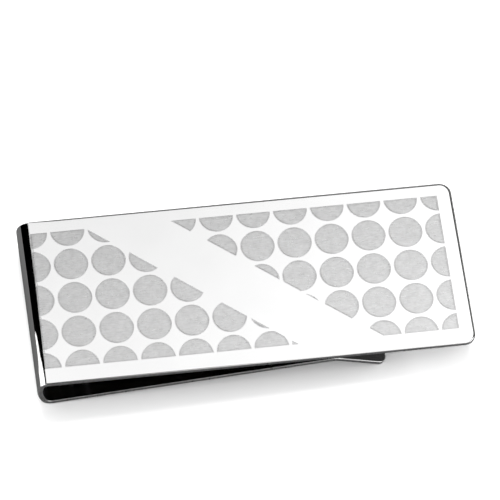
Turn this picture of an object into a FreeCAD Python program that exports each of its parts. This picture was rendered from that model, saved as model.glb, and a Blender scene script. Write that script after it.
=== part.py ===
import FreeCAD, Part
import math
import os

from FreeCAD import Vector

os.makedirs("parts", exist_ok=True)

# ---------------------------------------------------------------------------
# Money clip: one strip of spring-temper stainless steel, folded back on itself
# by a squashed C-shaped bow, with a flat face plate above and a narrow-gap
# spring leaf below.  The leaf rises to a rounded grip ridge that bears on the
# underside of the plate, then turns down into a flared lead-in lip.
#
# The strip is modelled zone by zone, each forming zone a solid of its own, cut
# square across at the forming lines.  The two lines where the strip is taken
# to flex are the hinge lines; both lie on the outer skin of the strip, so that
# opening the clip only opens the cut on the inner skin.
#
# Profile frame: x along the clip (bow at the left, mouth at the right), z out
# of the face, z = 0 on the face.  Everything is then tilted and lifted to the
# rest frame: bow and lip tip both on z = 0, +X towards the mouth, origin at
# the bottom centre of the box.  Millimetres and degrees.
# ---------------------------------------------------------------------------

T = 0.65              # sheet thickness
W = 22.0              # strip width
PLATE_L = -24.8       # x of the tangent line between the plate and the bow
PLATE_R = 26.9        # x of the plate's free end
CORNER_R = 1.4        # plan radius of the plate's two free corners
LIP_CORNER_R = 1.0    # plan radius of the lip's two free corners

# bow, outer skin: four tangent arcs (radius, turn in degrees)
BOW_R1, BOW_A1 = 1.5, 70.0      # corner below the plate
BOW_R2, BOW_A2 = 3.5, 20.0      # upper back wall, ends at the leftmost line
BOW_R3, BOW_A3 = 6.7, 21.2      # lower back wall
BOW_R4 = 1.5                    # corner above the leaf, turn closes the bow

RIDGE_X = 9.6         # x of the grip ridge's crest
RIDGE_GAP = 0.16      # running gap left between the crest and the plate
RIDGE_R = 1.25        # radius of the ridge on the leaf's outer skin
LIP_ANGLE = 22.5      # fall of the lip below the plate's plane
LIP_TIP_X = 16.2      # x of the lip's upper tip edge

# etched dot field on the face
PITCH = 4.56          # square pitch
DOT_R = 2.08          # dot radius
COLS, ROWS = 12, 5
ETCH = 0.04           # etch depth
DOT_Y = 0.17          # the whole field sits this far off the strip's centre line
BAND_SLOPE = -0.7715  # blank diagonal band: y = slope * x + offset
BAND_LO = -1.068 * PITCH
BAND_HI = 0.676 * PITCH

LEAF_HINGE = 0.15     # flex line of the leaf, as a fraction of its length


def step_arc(p, h, r, turn):
    """Follow the outer skin from p, heading h, round radius r by turn degrees.
    Positive turns left.  Returns (end point, end heading, centre)."""
    s = 1.0 if turn >= 0 else -1.0
    a = math.radians(h)
    c = (p[0] - s * r * math.sin(a), p[1] + s * r * math.cos(a))
    b = math.radians(h + turn)
    q = (c[0] + s * r * math.sin(b), c[1] - s * r * math.cos(b))
    return q, h + turn, c


def inner(p, h):
    """The inner-skin point across the sheet from outer-skin point p."""
    a = math.radians(h)
    return (p[0] - T * math.sin(a), p[1] + T * math.cos(a))


def on_arc(c, r, h, s=1.0):
    b = math.radians(h)
    return (c[0] + s * r * math.sin(b), c[1] - s * r * math.cos(b))


# --- outer skin of the bow -------------------------------------------------
P0, H0 = (PLATE_L, 0.0), 180.0
P1, H1, C1 = step_arc(P0, H0, BOW_R1, BOW_A1)
P2, H2, C2 = step_arc(P1, H1, BOW_R2, BOW_A2)
P3, H3, C3 = step_arc(P2, H2, BOW_R3, BOW_A3)


def leaf_for(angle):
    """Leaf and ridge for one leaf angle: start, centre, length, crest height."""
    p4, h4, c4 = step_arc(P3, H3, BOW_R4, 360.0 + angle - H3)
    a = math.radians(angle)
    # centre of the ridge is RIDGE_R below the leaf's outer skin at its end
    length = (RIDGE_X - p4[0] - RIDGE_R * math.sin(a)) / math.cos(a)
    p5 = (p4[0] + length * math.cos(a), p4[1] + length * math.sin(a))
    crest = p5[1] - RIDGE_R * math.cos(a) + RIDGE_R + T
    return p4, c4, length, p5, crest


lo, hi = 4.0, 9.0
for _ in range(60):
    mid = 0.5 * (lo + hi)
    if leaf_for(mid)[4] < -T - RIDGE_GAP:
        lo = mid
    else:
        hi = mid
LEAF_ANGLE = 0.5 * (lo + hi)
P4, C4, LEAF_L, P5, CREST = leaf_for(LEAF_ANGLE)
P6, H6, C6 = step_arc(P5, LEAF_ANGLE, RIDGE_R, -(LEAF_ANGLE + LIP_ANGLE))
_a = math.radians(-LIP_ANGLE)
LIP_L = (LIP_TIP_X - inner(P6, -LIP_ANGLE)[0]) / math.cos(_a)
P7 = (P6[0] + LIP_L * math.cos(_a), P6[1] + LIP_L * math.sin(_a))
PH = (P4[0] + LEAF_HINGE * LEAF_L * math.cos(math.radians(LEAF_ANGLE)),
      P4[1] + LEAF_HINGE * LEAF_L * math.sin(math.radians(LEAF_ANGLE)))

# --- tilt that puts the bow and the lip tip on one floor ------------------
lo, hi = 0.0, 6.0
for _ in range(60):
    mid = math.radians(0.5 * (lo + hi))
    bow = -C4[0] * math.sin(mid) + C4[1] * math.cos(mid) - BOW_R4
    tip = -P7[0] * math.sin(mid) + P7[1] * math.cos(mid)
    if tip > bow:
        lo = 0.5 * (lo + hi)
    else:
        hi = 0.5 * (lo + hi)
TILT = 0.5 * (lo + hi)


def v(p):
    return Vector(p[0], -W / 2, p[1])


def line(a, b):
    return Part.makeLine(v(a), v(b))


def arc(c, r, h0, h1, s=1.0):
    """Arc about c between two headings, s = -1 where the skin turns right."""
    a, m, b = (on_arc(c, r, h, s) for h in (h0, 0.5 * (h0 + h1), h1))
    return Part.Arc(v(a), v(m), v(b)).toShape()


def prism(edges):
    wire = Part.Wire(Part.__sortEdges__(edges))
    return Part.Face(wire).extrude(Vector(0, W, 0))


def slab(p, h, q):
    """Flat zone between outer-skin points p and q."""
    a, b = inner(p, h), inner(q, h)
    return prism([line(p, q), line(q, b), line(b, a), line(a, p)])


def bow_zone(p, hp, q, hq, arcs):
    """Bent zone from p to q; arcs are (centre, radius, heading 0, heading 1)."""
    e = [line(p, inner(p, hp)), line(q, inner(q, hq))]
    for c, r, h0, h1 in arcs:
        e.append(arc(c, r, h0, h1))
        e.append(arc(c, r - T, h0, h1))
    return prism(e)


def round_free_corners(solid, r, x_end, direction):
    """Round the two plan corners of a free end: the edges across the sheet
    that lie at the end named by direction."""
    picked = []
    for e in solid.Edges:
        if len(e.Vertexes) != 2 or abs(e.Length - T) > 1e-4:
            continue
        m = e.CenterOfMass
        d = (m.x - x_end[0]) * direction[0] + (m.z - x_end[1]) * direction[1]
        if abs(d) < 1e-3:
            picked.append(e)
    return solid.makeFillet(r, picked)


# --- face plate with its etched dots --------------------------------------
face_plate = slab((PLATE_R, 0.0), 180.0, P0)
face_plate = round_free_corners(face_plate, CORNER_R, (PLATE_R, -T / 2), (1, 0))

x1 = 0.5 * (COLS - 1) * PITCH
y1 = 0.5 * (ROWS - 1) * PITCH


def band_x(off, y):
    return (y - off) / BAND_SLOPE


def region(points):
    vs = [Vector(x, y, 0) for x, y in points]
    return Part.Face(Part.makePolygon(vs + [vs[0]]))


left_field = region([(-x1, -y1), (band_x(BAND_LO, -y1), -y1), (band_x(BAND_LO, y1), y1), (-x1, y1)])
right_field = region([(band_x(BAND_HI, -y1), -y1), (x1, -y1), (x1, y1), (band_x(BAND_HI, y1), y1)])
left_edge = region([(PLATE_L, -y1 - 1), (x1 + 1, -y1 - 1), (x1 + 1, y1 + 1), (PLATE_L, y1 + 1)])

pockets = []
for i in range(COLS):
    for j in range(ROWS):
        cx, cy = (i - 0.5 * (COLS - 1)) * PITCH, (0.5 * (ROWS - 1) - j) * PITCH
        disc = Part.Face(Part.Wire(Part.makeCircle(DOT_R, Vector(cx, cy, 0))))
        for field in (left_field, right_field):
            cut = disc.common(field).common(left_edge)
            for f in cut.Faces:
                if f.Area > 0.1:
                    pocket = f.extrude(Vector(0, 0, -ETCH))
                    pocket.translate(Vector(0, DOT_Y, 0))
                    pockets.append(pocket)
face_plate = face_plate.cut(Part.makeCompound(pockets))
if face_plate.ShapeType != "Solid":
    face_plate = face_plate.Solids[0]

# --- bow, cut at the leftmost line -----------------------------------------
bow_upper = bow_zone(P0, H0, P2, H2, [(C1, BOW_R1, H0, H1), (C2, BOW_R2, H1, H2)])
bow_lower = bow_zone(P2, H2, P4, 360.0 + LEAF_ANGLE,
                     [(C3, BOW_R3, H2, H3), (C4, BOW_R4, H3, 360.0 + LEAF_ANGLE)])

# --- leaf, ridge and lip ----------------------------------------------------
leaf_root = slab(P4, LEAF_ANGLE, PH)
leaf_blade = slab(PH, LEAF_ANGLE, P5)
grip_ridge = prism([
    line(P5, inner(P5, LEAF_ANGLE)),
    line(P6, inner(P6, -LIP_ANGLE)),
    arc(C6, RIDGE_R, LEAF_ANGLE, -LIP_ANGLE, -1.0),
    arc(C6, RIDGE_R + T, LEAF_ANGLE, -LIP_ANGLE, -1.0),
])
lead_in_lip = slab(P6, -LIP_ANGLE, P7)
_d = (math.cos(_a), math.sin(_a))
lead_in_lip = round_free_corners(lead_in_lip, LIP_CORNER_R, P7, _d)

nodes = {
    "face_plate": face_plate,
    "bow_upper": bow_upper,
    "bow_lower": bow_lower,
    "leaf_root": leaf_root,
    "leaf_blade": leaf_blade,
    "grip_ridge": grip_ridge,
    "lead_in_lip": lead_in_lip,
}

# --- to the rest frame -------------------------------------------------------
for s in nodes.values():
    s.rotate(Vector(0, 0, 0), Vector(0, 1, 0), TILT)
_t = math.radians(TILT)


def rest(p):
    return (p[0] * math.cos(_t) + p[1] * math.sin(_t), -p[0] * math.sin(_t) + p[1] * math.cos(_t))


left = rest(C2)[0] - BOW_R2      # the leftmost line stays on this arc or the next
left = min(left, rest(C3)[0] - BOW_R3) if rest(P2)[1] > rest(C3)[1] else left
right = max(rest((PLATE_R, 0.0))[0], rest((PLATE_R, -T))[0])
DX = -0.5 * (left + right)
DZ = -(rest(C4)[1] - BOW_R4)
for s in nodes.values():
    s.translate(Vector(DX, 0, DZ))

for name, s in nodes.items():
    if not s.isValid() or len(s.Solids) != 1:
        raise RuntimeError("%s is not one valid solid" % name)
    s.exportStep("parts/%s.step" % name)
    b = s.BoundBox
    print("%-12s vol %8.3f  x %8.3f %8.3f  y %7.3f %7.3f  z %7.3f %7.3f"
          % (name, s.Volume, b.XMin, b.XMax, b.YMin, b.YMax, b.ZMin, b.ZMax))


def out(p):
    x, z = rest(p)
    return (round(x + DX, 4), round(z + DZ, 4))


print("leaf angle %.4f  leaf length %.4f  lip length %.4f  tilt %.5f" % (LEAF_ANGLE, LEAF_L, LIP_L, TILT))
print("DX %.5f DZ %.5f  pockets %d" % (DX, DZ, len(pockets)))
print("bow hinge (x, z)", out(P2), " leaf hinge", out(PH))
print("ridge crest", out((RIDGE_X, CREST)), " lip tip", out(P7))
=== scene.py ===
import bpy
import math

from mathutils import Matrix, Vector
from mathutils.geometry import delaunay_2d_cdt


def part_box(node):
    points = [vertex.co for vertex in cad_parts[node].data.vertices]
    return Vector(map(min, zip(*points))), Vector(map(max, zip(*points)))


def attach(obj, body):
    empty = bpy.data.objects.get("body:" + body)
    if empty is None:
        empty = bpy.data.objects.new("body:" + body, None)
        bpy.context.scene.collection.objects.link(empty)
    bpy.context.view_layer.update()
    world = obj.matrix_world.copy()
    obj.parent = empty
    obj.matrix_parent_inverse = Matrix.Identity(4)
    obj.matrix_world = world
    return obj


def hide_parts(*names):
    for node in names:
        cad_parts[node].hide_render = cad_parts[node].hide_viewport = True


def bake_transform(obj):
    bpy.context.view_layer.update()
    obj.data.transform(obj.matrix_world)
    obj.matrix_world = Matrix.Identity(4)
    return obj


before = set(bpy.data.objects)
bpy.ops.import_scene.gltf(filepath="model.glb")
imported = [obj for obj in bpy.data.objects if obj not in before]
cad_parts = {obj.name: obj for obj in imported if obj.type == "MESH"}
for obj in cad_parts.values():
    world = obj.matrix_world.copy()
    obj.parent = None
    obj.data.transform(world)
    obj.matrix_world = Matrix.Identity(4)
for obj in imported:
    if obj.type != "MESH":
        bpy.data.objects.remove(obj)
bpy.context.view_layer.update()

MM = 0.001

# ---------------------------------------------------------------------------
# Strip geometry, millimetres, in the strip's own profile frame (x along the
# clip, z out of the face), the same numbers as the design.
# ---------------------------------------------------------------------------
T, W = 0.65, 22.0
PLATE_L, PLATE_R = -24.8, 26.9
CORNER_R, LIP_CORNER_R = 1.4, 1.0
BOW = [(1.5, 70.0), (3.5, 20.0), (6.7, 21.2)]
BOW_R4 = 1.5
RIDGE_X, RIDGE_GAP, RIDGE_R = 9.6, 0.16, 1.25
LIP_ANGLE, LIP_TIP_X = 22.5, 16.2
PITCH, DOT_R, COLS, ROWS = 4.56, 2.08, 12, 5
BAND_SLOPE, BAND_LO, BAND_HI = -0.7715, -1.068 * 4.56, 0.676 * 4.56
DOT_Y = 0.17
SKEW = -0.23                 # how far the bow's far end leans out, near end in

RO, RI = 0.17, 0.14          # edge rounding on the outer and the inner skin
SWELL = 1.4                  # the plate's outer rounding is up to this share larger on the far side
SPREAD = 0.09                # and the edge stands out up to this far there
RUN_OUT = 3.0                # both run out over this length before the bow
NB = 5                       # steps round each rounded edge


def step_arc(p, h, r, turn):
    s = 1.0 if turn >= 0 else -1.0
    a, b = math.radians(h), math.radians(h + turn)
    c = (p[0] - s * r * math.sin(a), p[1] + s * r * math.cos(a))
    return (c[0] + s * r * math.sin(b), c[1] - s * r * math.cos(b)), h + turn, c


def bow_end():
    p, h = (PLATE_L, 0.0), 180.0
    for r, a in BOW:
        p, h, _ = step_arc(p, h, r, a)
    return p, h


def leaf_for(angle):
    p, h = bow_end()
    p4, h4, c4 = step_arc(p, h, BOW_R4, 360.0 + angle - h)
    a = math.radians(angle)
    length = (RIDGE_X - p4[0] - RIDGE_R * math.sin(a)) / math.cos(a)
    p5 = (p4[0] + length * math.cos(a), p4[1] + length * math.sin(a))
    return p4, c4, length, p5, p5[1] - RIDGE_R * math.cos(a) + RIDGE_R + T


lo, hi = 4.0, 9.0
for _ in range(60):
    mid = 0.5 * (lo + hi)
    lo, hi = (mid, hi) if leaf_for(mid)[4] < -T - RIDGE_GAP else (lo, mid)
LEAF_A = 0.5 * (lo + hi)
P4, C4, LEAF_L, P5, _crest = leaf_for(LEAF_A)

# The end of the ridge bend, the length of the lip and the lip's tip.
P6, H6, C6 = step_arc(P5, LEAF_A, RIDGE_R, -(LEAF_A + LIP_ANGLE))
_la = math.radians(-LIP_ANGLE)
_inner6 = (P6[0] - T * math.sin(_la), P6[1] + T * math.cos(_la))
LIP_L = (LIP_TIP_X - _inner6[0]) / math.cos(_la)
P7 = (P6[0] + LIP_L * math.cos(_la), P6[1] + LIP_L * math.sin(_la))

# tilt and lift into the rest frame
lo, hi = 0.0, 6.0
for _ in range(60):
    m = math.radians(0.5 * (lo + hi))
    low_bow = -C4[0] * math.sin(m) + C4[1] * math.cos(m) - BOW_R4
    low_tip = -P7[0] * math.sin(m) + P7[1] * math.cos(m)
    lo, hi = (0.5 * (lo + hi), hi) if low_tip > low_bow else (lo, 0.5 * (lo + hi))
TILT = math.radians(0.5 * (lo + hi))
CT, ST = math.cos(TILT), math.sin(TILT)


def turn3(x, y, z):
    """A direction from the profile frame to the rest frame."""
    return (x * CT + z * ST, y, -x * ST + z * CT)


_xs = [turn3(p[0], 0, p[1])[0] for p in ((PLATE_R, 0.0), (PLATE_R, -T))]
_, _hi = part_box("face_plate")
DX = _hi.x / MM - max(_xs)
DZ = -(turn3(C4[0], 0, C4[1])[2] - BOW_R4)


def place(x, y, z):
    """A point from the profile frame in millimetres to the rest frame in metres."""
    q = turn3(x, y, z)
    return ((q[0] + DX) * MM, q[1] * MM, (q[2] + DZ) * MM)


# ---------------------------------------------------------------------------
# Stations along the outer skin.  Each is (x, z, outward nx, nz, along tx, tz,
# skew, slope of skew): the bow is a little conical, so a point of it moves
# along x by skew times y, and skew is zero on the plate and on the leaf.
# ---------------------------------------------------------------------------
def station(p, h, forward=True, skew=0.0, slope=0.0):
    a = math.radians(h)
    t = (math.cos(a), math.sin(a))
    n = (math.sin(a), -math.cos(a))
    if not forward:
        t = (-t[0], -t[1])
    return (p[0], p[1], n[0], n[1], t[0], t[1], skew, slope)


SEAM_A = 15.0   # degrees round the first corner where plate and bow pieces meet


def bow_skew(s):
    """Skew and its slope at path length s from the plate's tangent line."""
    up0, up1 = math.radians(SEAM_A) * BOW[0][0], 2.4
    dn0, dn1 = 4.6, 8.6
    if s < up1:
        k = min(max((s - up0) / (up1 - up0), 0.0), 1.0)
        w, g = k * k * (3 - 2 * k), 6 * k * (1 - k) / (up1 - up0)
    else:
        k = min(max((s - dn0) / (dn1 - dn0), 0.0), 1.0)
        w, g = 1 - k * k * (3 - 2 * k), -6 * k * (1 - k) / (dn1 - dn0)
    return SKEW / (W / 2) * w, SKEW / (W / 2) * g


def bow_stations(step=1.5):
    out = []
    p, h, s = (PLATE_L, 0.0), 180.0, 0.0
    q, hq, _ = step_arc(p, h, BOW[0][0], SEAM_A)
    out.append(station(q, hq))
    first = True
    for r, a in BOW + [(BOW_R4, None)]:
        if a is None:
            a = 360.0 + LEAF_A - h
        start = SEAM_A if first else 0.0
        n = max(2, math.ceil((a - start) / step))
        for i in range(1, n + 1):
            b = start + (a - start) * i / n
            q, hq, _ = step_arc(p, h, r, b)
            out.append(station(q, hq, True, *bow_skew(s + math.radians(b) * r)))
        p, h, _ = step_arc(p, h, r, a)
        s += math.radians(a) * r
        first = False
    for d in (0.25, 0.5, 0.75, 1.0, 1.25):
        out.append(leaf_station(d, *bow_skew(s + d)))
    out.append(leaf_station(S_B))
    return out


def leaf_station(s, skew=0.0, slope=0.0):
    a = math.radians(LEAF_A)
    return station((P4[0] + s * math.cos(a), P4[1] + s * math.sin(a)), LEAF_A, True, skew, slope)


S_B, S_C = 1.5, 21.5        # where the bow, leaf and lip pieces meet on the leaf


# ---------------------------------------------------------------------------
# A mesh with welded points and a given normal at every corner
# ---------------------------------------------------------------------------
class Shell:
    def __init__(self):
        self.v, self.key, self.f, self.n, self.m = [], {}, [], [], []

    def point(self, p):
        k = (round(p[0], 5), round(p[1], 5), round(p[2], 5))
        if k not in self.key:
            self.key[k] = len(self.v)
            self.v.append(p)
        return self.key[k]

    def face(self, pts, normals, mat):
        """pts and normals in the profile frame; wound to agree with the normals."""
        idx = [self.point(p) for p in pts]
        keep = [i for i in range(len(idx)) if idx[i] != idx[i - 1]]
        if len({idx[i] for i in keep}) < 3:
            return
        idx = [idx[i] for i in keep]
        nr = [normals[i] for i in keep]
        g = Vector((0, 0, 0))
        v = [Vector(self.v[i]) for i in idx]
        for i in range(1, len(v) - 1):
            g += (v[i] - v[0]).cross(v[i + 1] - v[0])
        s = Vector((0, 0, 0))
        for q in nr:
            s += Vector(q)
        if g.dot(s) < 0:
            idx.reverse()
            nr.reverse()
        self.f.append(idx)
        self.n.append(nr)
        self.m.append(mat)

    def build(self, name, materials):
        me = bpy.data.meshes.new(name)
        me.from_pydata([place(*p) for p in self.v], [], self.f)
        for m in materials:
            me.materials.append(m)
        me.polygons.foreach_set("material_index", self.m)
        me.polygons.foreach_set("use_smooth", [True] * len(self.f))
        loops = [Vector(turn3(*q)).normalized() for nr in self.n for q in nr]
        me.normals_split_custom_set(loops)
        me.update()
        ob = bpy.data.objects.new(name, me)
        bpy.context.scene.collection.objects.link(ob)
        return ob


def edge_profile():
    """Steps round the strip's edge, outer skin to inner skin:
    (inset, depth, sideways normal, outward normal, material)."""
    out = []
    for i in range(NB + 1):
        a = math.radians(90.0 * i / NB)
        out.append((RO * (1 - math.sin(a)), RO * (1 - math.cos(a)), math.sin(a), math.cos(a)))
    for i in range(NB + 1):
        a = math.radians(90.0 * i / NB)
        out.append((RI * (1 - math.cos(a)), T - RI * (1 - math.sin(a)), math.cos(a), -math.sin(a)))
    return out


EDGE = edge_profile()
POLISH, CUT, ETCH, RING = 0, 1, 2, 3


def edge_material(k):
    """Material between edge steps k and k + 1: the polish runs round the outer
    corner, and the sheared side below it is satin."""
    return CUT if k >= NB - 1 and k < 2 * NB else POLISH


def lift(st, y, depth):
    return (st[0] - st[2] * depth + st[6] * y, y, st[1] - st[3] * depth)


def skin_normal(st, y):
    """Outward normal of the skin at y, with the skew's lean."""
    tx, tz = st[4] + st[7] * y, st[5]
    nx, nz = (tz, -tx) if st[2] * tz - st[3] * tx >= 0 else (-tz, tx)
    n = Vector((nx, -nx * st[6], nz))
    return tuple(n.normalized())


def edge_normal(st, side, sideways, outward):
    n = skin_normal(st, side * W / 2)
    return (n[0] * outward, side * sideways + n[1] * outward, n[2] * outward)


def sweep_walls(sh, sts, skip_outer=False):
    """Both skins and both rounded side edges between consecutive stations."""
    rows = 8 if any(st[6] for st in sts) else 1
    for a, b in zip(sts, sts[1:]):
        for side in (-1.0, 1.0):
            for k in range(len(EDGE) - 1):
                e0, e1 = EDGE[k], EDGE[k + 1]
                pts = [lift(a, side * (W / 2 - e0[0]), e0[1]), lift(a, side * (W / 2 - e1[0]), e1[1]),
                       lift(b, side * (W / 2 - e1[0]), e1[1]), lift(b, side * (W / 2 - e0[0]), e0[1])]
                ns = [edge_normal(a, side, e0[2], e0[3]), edge_normal(a, side, e1[2], e1[3]),
                      edge_normal(b, side, e1[2], e1[3]), edge_normal(b, side, e0[2], e0[3])]
                sh.face(pts, ns, edge_material(k))
        for k, sgn in ((0, 1.0), (len(EDGE) - 1, -1.0)):
            if k == 0 and skip_outer:
                continue
            h = W / 2 - EDGE[k][0]
            d = EDGE[k][1]
            for i in range(rows):
                y0, y1 = -h + 2 * h * i / rows, -h + 2 * h * (i + 1) / rows
                pts = [lift(a, y0, d), lift(a, y1, d), lift(b, y1, d), lift(b, y0, d)]
                ns = [tuple(c * sgn for c in skin_normal(s, y)) for s, y in ((a, y0), (a, y1), (b, y1), (b, y0))]
                sh.face(pts, ns, POLISH)


def cap(sh, st, sgn, rows=1):
    """Flat end across the strip; sgn gives the side it faces along the path.
    rows is the number of strips that the skins have across the width."""
    ring = [lift(st, W / 2 - e[0], e[1]) for e in EDGE]
    h = W / 2 - EDGE[-1][0]
    ring += [lift(st, h - 2 * h * i / rows, EDGE[-1][1]) for i in range(1, rows)]
    ring += [lift(st, -(W / 2 - e[0]), e[1]) for e in reversed(EDGE)]
    h = W / 2 - EDGE[0][0]
    ring += [lift(st, -h + 2 * h * i / rows, EDGE[0][1]) for i in range(1, rows)]
    n = (st[4] * sgn, 0, st[5] * sgn)
    sh.face(ring, [n] * len(ring), CUT)


def tongue(sh, s0, length, rc, outer=True, swell=0.0):
    """Rounded free end: from station s0 along its own direction for length,
    with plan corners rc.  The outer rounding grows by the share swell round
    the end and along the far side.  Returns the outline of the outer skin's
    flat part."""
    def at(u):
        return (s0[0] + s0[4] * u, s0[1] + s0[5] * u) + tuple(s0[2:])

    def outline(d, more):
        pts = [(0.0, -(W / 2 - d), 0.0, -1.0, 1.0)]
        n = 14
        for sy in (-1.0, 1.0):
            for i in range(n + 1):
                a = math.radians(90.0 * i / n)
                c, s = (math.sin(a), math.cos(a)) if sy < 0 else (math.cos(a), math.sin(a))
                w = (0.6 * c if sy < 0 else 1.0) if swell else 0.0
                f = 1.0 + more * w
                r = rc - d * f + SPREAD * w
                pts.append((length - rc + r * c, sy * (W / 2 - rc + r * s), c, sy * s, f))
        if swell:
            f = 1.0 + more * 0.6
            pts.append((RUN_OUT, W / 2 - d * f + SPREAD * 0.6, 0.0, 1.0, f))
        pts.append((0.0, W / 2 - d, 0.0, 1.0, 1.0))
        return pts

    rings = [outline(e[0], swell if k <= NB else 0.0) for k, e in enumerate(EDGE)]
    for k in range(len(EDGE) - 1):
        e0, e1 = EDGE[k], EDGE[k + 1]
        for i in range(len(rings[k]) - 1):
            quad, ns = [], []
            for r, e, j in ((rings[k], e0, i), (rings[k + 1], e1, i), (rings[k + 1], e1, i + 1), (rings[k], e0, i + 1)):
                u, y, nu, ny, f = r[j]
                quad.append(lift(at(u), y, e[1] * f))
                ns.append((s0[4] * nu * e[2] + s0[2] * e[3], ny * e[2], s0[5] * nu * e[2] + s0[3] * e[3]))
            sh.face(quad, ns, edge_material(k))
    for k, sgn in ((0, 1.0), (len(EDGE) - 1, -1.0)):
        if k == 0 and not outer:
            continue
        pts = [lift(at(p[0]), p[1], EDGE[k][1]) for p in rings[k]]
        n = (s0[2] * sgn, 0, s0[3] * sgn)
        sh.face(pts, [n] * len(pts), POLISH)
    return [(p[0], p[1]) for p in rings[0]]


# ---------------------------------------------------------------------------
# Etched dots: outlines in the unrolled plane of the face
# ---------------------------------------------------------------------------
X1, Y1 = 0.5 * (COLS - 1) * PITCH, 0.5 * (ROWS - 1) * PITCH
_bl = math.hypot(BAND_SLOPE, 1.0)
FIELDS = [
    [(1, 0, -X1), (0, 1, -Y1), (0, -1, -Y1), (BAND_SLOPE / _bl, -1 / _bl, -BAND_LO / _bl)],
    [(-1, 0, -X1), (0, 1, -Y1), (0, -1, -Y1), (-BAND_SLOPE / _bl, 1 / _bl, BAND_HI / _bl)],
]   # half-planes a x + b y >= c, unit normals
FIELDS = [[(a, b, c + b * DOT_Y) for a, b, c in f] for f in FIELDS]


def clip(poly, a, b, c):
    out = []
    for i in range(len(poly)):
        p, q = poly[i - 1], poly[i]
        dp, dq = a * p[0] + b * p[1] - c, a * q[0] + b * q[1] - c
        if (dp >= 0) != (dq >= 0):
            t = dp / (dp - dq)
            out.append((p[0] + (q[0] - p[0]) * t, p[1] + (q[1] - p[1]) * t))
        if dq >= 0:
            out.append(q)
    return out


def area(poly):
    return 0.5 * abs(sum(poly[i - 1][0] * poly[i][1] - poly[i][0] * poly[i - 1][1] for i in range(len(poly))))


# inset from the dot's outline, depth of the etch there
LEVELS = [(0.0, 0.0), (0.025, 0.040), (0.15, 0.040), (0.18, 0.028)]
NSEG = 88


def dot_outline(cx, cy, field, inset):
    r = DOT_R - inset
    poly = [(cx + r * math.cos(2 * math.pi * (i + 0.5) / NSEG), cy + r * math.sin(2 * math.pi * (i + 0.5) / NSEG))
            for i in range(NSEG)]
    for a, b, c in field:
        poly = clip(poly, a, b, c + inset)
        if len(poly) < 3:
            return []
    clean = []
    for p in poly:
        if not clean or math.dist(p, clean[-1]) > 0.004:
            clean.append(p)
    if len(clean) > 2 and math.dist(clean[0], clean[-1]) <= 0.004:
        clean.pop()
    return clean if len(clean) > 2 and area(clean) > 0.004 else []


DOTS = []
for i in range(COLS):
    for j in range(ROWS):
        c = ((i - 0.5 * (COLS - 1)) * PITCH, (0.5 * (ROWS - 1) - j) * PITCH + DOT_Y)
        for field in FIELDS:
            if dot_outline(c[0], c[1], field, 0.0):
                DOTS.append((c[0], c[1], field))


def inside(dot, x, y):
    """How far (x, y) lies inside a dot's outline; negative outside."""
    d = DOT_R - math.hypot(x - dot[0], y - dot[1])
    for a, b, c in dot[2]:
        d = min(d, a * x + b * y - c)
    return d


BUCKET = {}
for n_, d_ in enumerate(DOTS):
    for ix in range(int((d_[0] - DOT_R - 0.3 + 40) // 2), int((d_[0] + DOT_R + 0.3 + 40) // 2) + 1):
        BUCKET.setdefault(ix, []).append(n_)


def etch(x, y):
    best = -1.0
    for n in BUCKET.get(int((x + 40) // 2), ()):
        best = max(best, inside(DOTS[n], x, y))
    return best


def etch_depth(d):
    if d <= 0:
        return 0.0
    for (a, za), (b, zb) in zip(LEVELS, LEVELS[1:]):
        if d < b:
            return za + (zb - za) * (d - a) / (b - a)
    return LEVELS[-1][1]


def face_station(u):
    """Station on the face or just round the first corner, u = unrolled x."""
    if u >= PLATE_L:
        return (u, 0.0, 0.0, 1.0, 1.0, 0.0, 0.0, 0.0)
    a = math.degrees((PLATE_L - u) / BOW[0][0])
    q, h, _ = step_arc((PLATE_L, 0.0), 180.0, BOW[0][0], a)
    return station(q, h, forward=False)


# ---------------------------------------------------------------------------
# Materials
# ---------------------------------------------------------------------------
def nodes_of(name):
    m = bpy.data.materials.new(name)
    m.use_nodes = True
    nt = m.node_tree
    bsdf = nt.nodes["Principled BSDF"]
    return m, nt, bsdf


def add(nt, kind, **inputs):
    n = nt.nodes.new(kind)
    for k, v in inputs.items():
        n.inputs[k.replace("_", " ")].default_value = v
    return n


def ramp(nt, src, lo_pos, lo_val, hi_pos, hi_val):
    n = nt.nodes.new("ShaderNodeMapRange")
    n.inputs["From Min"].default_value = lo_pos
    n.inputs["From Max"].default_value = hi_pos
    n.inputs["To Min"].default_value = lo_val
    n.inputs["To Max"].default_value = hi_val
    nt.links.new(src, n.inputs["Value"])
    return n.outputs["Result"]


def grey(nt, value):
    n = nt.nodes.new("ShaderNodeCombineColor")
    for k in ("Red", "Green", "Blue"):
        nt.links.new(value, n.inputs[k])
    return n.outputs["Color"]


def coords(nt, scale=(1, 1, 1), rot=(0, 0, 0)):
    tc = nt.nodes.new("ShaderNodeTexCoord")
    mp = nt.nodes.new("ShaderNodeMapping")
    mp.inputs["Scale"].default_value = scale
    mp.inputs["Rotation"].default_value = rot
    nt.links.new(tc.outputs["Object"], mp.inputs["Vector"])
    return mp.outputs["Vector"]


def noise(nt, vec, scale, detail=3.0, rough=0.5):
    n = nt.nodes.new("ShaderNodeTexNoise")
    n.inputs["Scale"].default_value = scale
    n.inputs["Detail"].default_value = detail
    n.inputs["Roughness"].default_value = rough
    nt.links.new(vec, n.inputs["Vector"])
    return n.outputs["Fac"]


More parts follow.
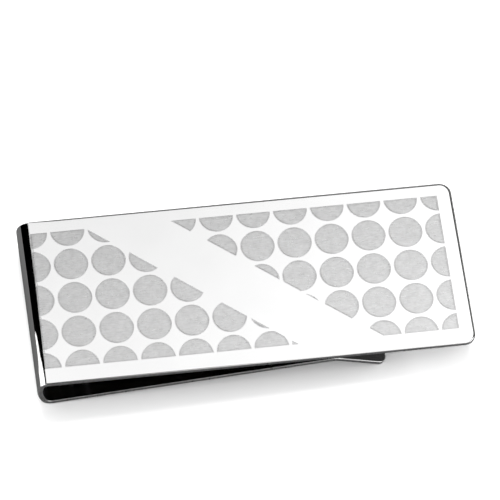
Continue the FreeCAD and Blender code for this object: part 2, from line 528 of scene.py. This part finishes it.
def polished_steel():
    """Mirror polish: a faint haze in drifts, hairline buffing marks along the
    strip and a slight waviness of the sheet."""
    m, nt, b = nodes_of("polished_steel")
    b.inputs["Metallic"].default_value = 1.0
    haze = noise(nt, coords(nt), 180.0, 4.0)
    tone = ramp(nt, haze, 0.3, 0.865, 0.7, 0.895)
    nt.links.new(grey(nt, tone), b.inputs["Base Color"])
    marks = noise(nt, coords(nt, (0.06, 1, 1)), 9000.0, 2.0)
    mix = nt.nodes.new("ShaderNodeMath")
    mix.operation = "MULTIPLY"
    nt.links.new(haze, mix.inputs[0])
    nt.links.new(marks, mix.inputs[1])
    nt.links.new(ramp(nt, mix.outputs[0], 0.1, 0.035, 0.4, 0.075), b.inputs["Roughness"])
    wave = noise(nt, coords(nt), 260.0, 1.0)
    bump = nt.nodes.new("ShaderNodeBump")
    bump.inputs["Strength"].default_value = 0.10
    bump.inputs["Distance"].default_value = 0.00002
    nt.links.new(wave, bump.inputs["Height"])
    nt.links.new(bump.outputs["Normal"], b.inputs["Normal"])
    return m


def cut_steel():
    """Sheared and tumbled side of the sheet: satin, with fine marks across it."""
    m, nt, b = nodes_of("cut_edge_steel")
    b.inputs["Metallic"].default_value = 1.0
    v = noise(nt, coords(nt, (1, 1, 0.25)), 5200.0, 3.0)
    big = noise(nt, coords(nt), 700.0, 2.0)
    mix = nt.nodes.new("ShaderNodeMath")
    mix.operation = "MULTIPLY"
    nt.links.new(v, mix.inputs[0])
    nt.links.new(big, mix.inputs[1])
    nt.links.new(grey(nt, ramp(nt, mix.outputs[0], 0.12, 0.72, 0.42, 0.95)), b.inputs["Base Color"])
    nt.links.new(ramp(nt, v, 0.3, 0.26, 0.7, 0.40), b.inputs["Roughness"])
    bump = nt.nodes.new("ShaderNodeBump")
    bump.inputs["Strength"].default_value = 0.25
    bump.inputs["Distance"].default_value = 0.00001
    nt.links.new(v, bump.inputs["Height"])
    nt.links.new(bump.outputs["Normal"], b.inputs["Normal"])
    return m


def etched_steel(name, tone_lo, tone_hi, rough_lo, rough_hi):
    """Laser-etched steel: overlapping fine hatch passes at two angles over a
    matt ground, with small clouds where the passes overlap unevenly."""
    m, nt, b = nodes_of(name)
    b.inputs["Metallic"].default_value = 1.0
    h1 = noise(nt, coords(nt, (0.12, 1, 1), (0, 0, math.radians(78))), 9500.0, 2.0, 0.6)
    h2 = noise(nt, coords(nt, (0.12, 1, 1), (0, 0, math.radians(-14))), 8000.0, 2.0, 0.6)
    cloud = noise(nt, coords(nt), 1500.0, 3.0, 0.6)
    s1 = nt.nodes.new("ShaderNodeMath")
    s1.operation = "ADD"
    nt.links.new(h1, s1.inputs[0])
    nt.links.new(h2, s1.inputs[1])
    s2 = nt.nodes.new("ShaderNodeMath")
    s2.operation = "ADD"
    nt.links.new(s1.outputs[0], s2.inputs[0])
    nt.links.new(cloud, s2.inputs[1])
    nt.links.new(grey(nt, ramp(nt, s2.outputs[0], 1.05, tone_lo, 1.95, tone_hi)), b.inputs["Base Color"])
    nt.links.new(ramp(nt, s1.outputs[0], 0.7, rough_lo, 1.3, rough_hi), b.inputs["Roughness"])
    bump = nt.nodes.new("ShaderNodeBump")
    bump.inputs["Strength"].default_value = 0.35
    bump.inputs["Distance"].default_value = 0.00001
    nt.links.new(s1.outputs[0], bump.inputs["Height"])
    nt.links.new(bump.outputs["Normal"], b.inputs["Normal"])
    return m


MATS = [
    polished_steel(),
    cut_steel(),
    etched_steel("etched_steel", 0.70, 0.99, 0.26, 0.36),
    # the contour ring round each dot gets a darker tone than the fill (0.72 to 0.86 against 0.70 to 0.99), so each dot
    # has a darker rim
    etched_steel("etched_contour", 0.72, 0.86, 0.26, 0.34),
]

# ---------------------------------------------------------------------------
# Piece 1: face plate with its etched dots, and the first degrees of the bow
# ---------------------------------------------------------------------------
face = Shell()
end_u = PLATE_R - PLATE_L
flat_start = face_station(PLATE_L)
outline_pts = tongue(face, flat_start, end_u, CORNER_R, outer=False, swell=SWELL)
corner_us = [PLATE_L - math.radians(SEAM_A) * BOW[0][0] * i / 8 for i in range(8, -1, -1)]
sweep_walls(face, [face_station(u) for u in corner_us], skip_outer=True)
cap(face, face_station(corner_us[0]), -1.0)

verts, edges = [], []


def add_loop(points, closed=True):
    base = len(verts)
    verts.extend(Vector(p) for p in points)
    n = len(points)
    for i in range(n if closed else n - 1):
        edges.append((base + i, base + (i + 1) % n))


h0 = W / 2 - RO
left_low = [(u, -h0) for u in corner_us[:-1]]
left_high = [(u, h0) for u in reversed(corner_us[:-1])]
flat = left_low + [(PLATE_L + u, y) for u, y in outline_pts] + left_high
add_loop(flat)
for u in corner_us[1:]:
    add_loop([(u, -h0), (u, h0)], closed=False)
for dot in DOTS:
    for inset, _z in LEVELS:
        loop = dot_outline(dot[0], dot[1], dot[2], inset)
        if loop:
            add_loop(loop)
cdt = delaunay_2d_cdt(verts, edges, [], 0, 1e-6)
pts2, tris = cdt[0], cdt[2]


def in_outline(x, y):
    odd = False
    for (xa, ya), (xb, yb) in zip(flat, flat[1:] + flat[:1]):
        if (ya > y) != (yb > y) and x < xa + (y - ya) * (xb - xa) / (yb - ya):
            odd = not odd
    return odd


info = []
for p in pts2:
    d = etch(p.x, p.y)
    info.append((p.x, p.y, d, face_station(p.x)))
for tri in tris:
    cx = sum(info[i][0] for i in tri) / 3
    cy = sum(info[i][1] for i in tri) / 3
    if not in_outline(cx, cy):
        continue
    dc = etch(cx, cy)
    p3, ns = [], []
    for i in tri:
        x, y, d, st = info[i]
        p3.append(lift(st, y, etch_depth(d) if dc > 0 else 0.0))
        ns.append((st[2], 0.0, st[3]))
    if 0 < dc < LEVELS[1][0] or LEVELS[2][0] < dc < LEVELS[3][0]:
        g = (Vector(p3[1]) - Vector(p3[0])).cross(Vector(p3[2]) - Vector(p3[0]))
        if g.length > 1e-12:
            if g.z < 0:
                g = -g
            g.normalize()
            ns = [tuple(g)] * 3
    mat = POLISH if dc <= 0 else (RING if dc < 0.5 * (LEVELS[2][0] + LEVELS[3][0]) else ETCH)
    face.face(p3, ns, mat)
face_ob = face.build("face_plate_finished", MATS)

# ---------------------------------------------------------------------------
# Piece 2: the bow; pieces 3 and 4: the leaf; piece 4 ends in ridge and lip
# ---------------------------------------------------------------------------
bow = Shell()
sts = bow_stations()
sweep_walls(bow, sts)
cap(bow, sts[0], -1.0, 8)
cap(bow, sts[-1], 1.0, 8)
bow_ob = bow.build("bow_finished", MATS)

leaf = Shell()
n_leaf = 40
sts = [leaf_station(S_B + (S_C - S_B) * i / n_leaf) for i in range(n_leaf + 1)]
sweep_walls(leaf, sts)
cap(leaf, sts[0], -1.0)
cap(leaf, sts[-1], 1.0)
leaf_ob = leaf.build("leaf_finished", MATS)

lip = Shell()
sts = [leaf_station(S_C), leaf_station(LEAF_L)]
n_ridge = 22
for i in range(1, n_ridge + 1):
    q, h, _ = step_arc(P5, LEAF_A, RIDGE_R, -(LEAF_A + LIP_ANGLE) * i / n_ridge)
    sts.append(station(q, h))
sweep_walls(lip, sts)
cap(lip, sts[0], -1.0)
tongue(lip, sts[-1], LIP_L, LIP_CORNER_R)
lip_ob = lip.build("ridge_and_lip_finished", MATS)

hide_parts("face_plate")
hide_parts("bow_upper", "bow_lower")
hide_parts("leaf_root", "leaf_blade")
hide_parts("grip_ridge", "lead_in_lip")
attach(face_ob, "clip_face")
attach(lip_ob, "leaf_arm")
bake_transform(bow_ob)


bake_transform(leaf_ob)

# ---------------------------------------------------------------------------
# Stage: pale floor, soft light from above and behind, and the dark studio
# round it, which only the steel's reflections see
# ---------------------------------------------------------------------------
scene = bpy.context.scene
scene.view_settings.view_transform = "Standard"
scene.view_settings.look = "None"


def plain_material(name, colour, rough=0.9):
    m, nt, b = nodes_of(name)
    b.inputs["Base Color"].default_value = (*colour, 1)
    b.inputs["Roughness"].default_value = rough
    b.inputs["Specular IOR Level"].default_value = 0.0
    return m


def glow(name, strength):
    m = bpy.data.materials.new(name)
    m.use_nodes = True
    nt = m.node_tree
    nt.nodes.clear()
    e = nt.nodes.new("ShaderNodeEmission")
    e.inputs["Strength"].default_value = strength
    o = nt.nodes.new("ShaderNodeOutputMaterial")
    nt.links.new(e.outputs[0], o.inputs["Surface"])
    return m, nt, e


def card(name, corners, material):
    me = bpy.data.meshes.new(name)
    me.from_pydata([tuple(c * MM for c in p) for p in corners], [], [tuple(range(len(corners)))])
    me.materials.append(material)
    ob = bpy.data.objects.new(name, me)
    scene.collection.objects.link(ob)
    return ob


def only_reflections(ob):
    ob.visible_camera = False
    ob.visible_diffuse = False
    ob.visible_shadow = False
    ob.visible_transmission = False
    ob.visible_volume_scatter = False
    return ob


FLOOR = 3000.0
floor = card("floor", [(-FLOOR, -FLOOR, 0), (FLOOR, -FLOOR, 0), (FLOOR, FLOOR, 0), (-FLOOR, FLOOR, 0)],
             plain_material("floor_paper", (0.86, 0.86, 0.86)))
floor.location.z = -0.00004
floor.visible_glossy = False
# painted shade: reflections see this much darker copy (0.082) of the white floor (0.86) that the camera sees; its grey
# stands both for a grey table and for shade on the floor
table = card("floor_dark_copy_in_reflections", [(-900, -900, 0), (900, -900, 0), (900, 900, 0), (-900, 900, 0)],
             plain_material("floor_grey_with_painted_shade", (0.082, 0.082, 0.082)))
table.location.z = -0.00002
only_reflections(table)

# dark room: a shell of black cards round the table
dark, _, _ = glow("dark_room", 0.0)
R_ = 1200.0
room = bpy.data.meshes.new("dark_room")
rv, rf = [], []
for zi, z in enumerate((-5.0, 1500.0)):
    for i in range(24):
        a = 2 * math.pi * i / 24
        rv.append((R_ * math.cos(a) * MM, R_ * math.sin(a) * MM, z * MM))
for i in range(24):
    rf.append((i, (i + 1) % 24, 24 + (i + 1) % 24, 24 + i))
rf.append(tuple(range(24, 48)))
room.from_pydata(rv, [], rf)
room.materials.append(dark)
room_ob = bpy.data.objects.new("dark_room", room)
scene.collection.objects.link(room_ob)
only_reflections(room_ob)

# soft box above and behind, seen in the face: brighter to the right and near
box_mat, nt, em = glow("soft_box", 1.0)
tc = nt.nodes.new("ShaderNodeTexCoord")
sep = nt.nodes.new("ShaderNodeSeparateXYZ")
nt.links.new(tc.outputs["Object"], sep.inputs["Vector"])


def smooth(nt, src, a, b, va, vb):
    n = nt.nodes.new("ShaderNodeMapRange")
    n.interpolation_type = "SMOOTHSTEP"
    n.inputs["From Min"].default_value = a
    n.inputs["From Max"].default_value = b
    n.inputs["To Min"].default_value = va
    n.inputs["To Max"].default_value = vb
    nt.links.new(src, n.inputs["Value"])
    return n.outputs["Result"]


sx = smooth(nt, sep.outputs["X"], 0.025, 0.27, 1.0, 1.75)
sy = smooth(nt, sep.outputs["Y"], 0.215, 0.285, 1.08, 0.96)
mul = nt.nodes.new("ShaderNodeMath")
mul.operation = "MULTIPLY"
nt.links.new(sx, mul.inputs[0])
nt.links.new(sy, mul.inputs[1])
nt.links.new(mul.outputs[0], em.inputs["Strength"])
H = 500.0
soft = card("soft_box", [(-150, 150, H), (-172, 235, H), (-166, 262, H), (-215, 280, H), (-262, 296, H), (-262, 303, H), (280, 303, H),
                         (280, -160, H), (75, -160, H), (50, 90, H), (0, 165, H)], box_mat)
only_reflections(soft)

# small card standing on the left, in front
side_mat, _, _ = glow("side_card", 1.5)
side = card("side_card", [(-45, y, z) for y, z in (
    (5.6, 9), (5.8, 14), (5.4, 17), (4.7, 18.5), (4.4, 21), (5.5, 26), (6.6, 32), (8.4, 40),
    (-40, 40), (-40, 1), (-0.2, 2), (0.4, 5), (1.3, 7.2), (2.8, 8), (4.8, 7.5))], side_mat)
only_reflections(side)

# tall card in front on the right, seen in the rounded near edges
front_mat, nt, em = glow("front_card", 1.0)
tc = nt.nodes.new("ShaderNodeTexCoord")
sep = nt.nodes.new("ShaderNodeSeparateXYZ")
nt.links.new(tc.outputs["Object"], sep.inputs["Vector"])
nt.links.new(smooth(nt, sep.outputs["X"], -0.02, 0.07, 0.0, 1.1), em.inputs["Strength"])
front = card("front_card", [(-25, -300, 92), (320, -300, 92), (320, -230, 560), (-25, -230, 560)], front_mat)
only_reflections(front)
corner_mat, _, _ = glow("corner_card", 1.7)
corner = card("corner_card", [(290, -300, 40), (520, -70, 40), (470, -60, 330), (290, -240, 330)], corner_mat)
only_reflections(corner)

# pale walls further off, which keep the steel bright from the other sides
wall_mat, nt, em = glow("pale_wall", 1.0)
tc = nt.nodes.new("ShaderNodeTexCoord")
sep = nt.nodes.new("ShaderNodeSeparateXYZ")
nt.links.new(tc.outputs["Object"], sep.inputs["Vector"])
nt.links.new(smooth(nt, sep.outputs["Z"], 0.0, 0.45, 0.30, 0.95), em.inputs["Strength"])
for name, corners in (
        ("right_wall", [(600, -360, 60), (600, 10, 60), (600, 10, 650), (600, -360, 650)]),
        ("back_wall", [(-330, 800, 12), (900, 800, 12), (900, 800, 340), (-330, 800, 340)]),
        ("back_left_wall", [(-579, 600, 280), (-106, 600, 280), (-106, 600, 720), (-579, 600, 720)]),
        ("left_wall", [(-700, -500, 40), (-700, 60, 40), (-700, 60, 600), (-700, -500, 600)]),
        ("front_wall", [(-620, -700, 40), (-160, -700, 40), (-160, -700, 600), (-620, -700, 600)])):
    only_reflections(card(name, corners, wall_mat))
dim_mat, _, _ = glow("dim_wall", 0.35)
only_reflections(card("dim_wall", [(520, 520, 30), (740, 130, 30), (740, 130, 235), (520, 520, 235)], dim_mat))
low_mat, _, _ = glow("low_wall", 0.20)
only_reflections(card("low_wall", [(-700, 200, 3), (-700, 620, 3), (-700, 620, 50), (-700, 200, 50)], low_mat))


def area_light(name, loc, target, size_x, size_y, power, glossy=False):
    ld = bpy.data.lights.new(name, "AREA")
    ld.shape = "RECTANGLE"
    ld.size, ld.size_y = size_x, size_y
    ld.energy = power
    ob = bpy.data.objects.new(name, ld)
    scene.collection.objects.link(ob)
    ob.location = Vector(loc)
    ob.rotation_mode = "QUATERNION"
    ob.rotation_quaternion = (Vector(target) - Vector(loc)).to_track_quat("-Z", "Y")
    ob.visible_camera = False
    ob.visible_glossy = glossy
    return ob


area_light("key", (0.03, 0.38, 0.585), (0, 0, 0), 0.27, 0.27, 3.5)
area_light("right_fill", (0.45, 0.12, 0.11), (0, 0, 0), 0.22, 0.12, 2.0)
area_light("left_fill", (-0.45, 0.10, 0.14), (0, 0, 0), 0.20, 0.12, 0.35)

world = bpy.data.worlds.new("world")
scene.world = world
world.use_nodes = True
bg = world.node_tree.nodes["Background"]
bg.inputs["Color"].default_value = (1, 1, 1, 1)
bg.inputs["Strength"].default_value = 1.3

# ---------------------------------------------------------------------------
# Camera
# ---------------------------------------------------------------------------
cam_data = bpy.data.cameras.new("camera")
cam_data.lens = 255.2787
cam_data.sensor_width = 36.0
cam_data.clip_start = 0.01
cam_data.clip_end = 50.0
cam = bpy.data.objects.new("camera", cam_data)
scene.collection.objects.link(cam)
# where it stands over the face, in the strip's own frame
right = turn3(0.991261, -0.126287, 0.038125)
up = turn3(0.095022, 0.884021, 0.457687)
back = turn3(-0.091503, -0.450065, 0.888296)
at = place(-38.1756, -190.0556 + DOT_Y, 383.2483)
M = Matrix([(right[i], up[i], back[i], at[i]) for i in range(3)] + [(0, 0, 0, 1)])
cam.matrix_world = M
scene.camera = cam

bpy.context.view_layer.update()
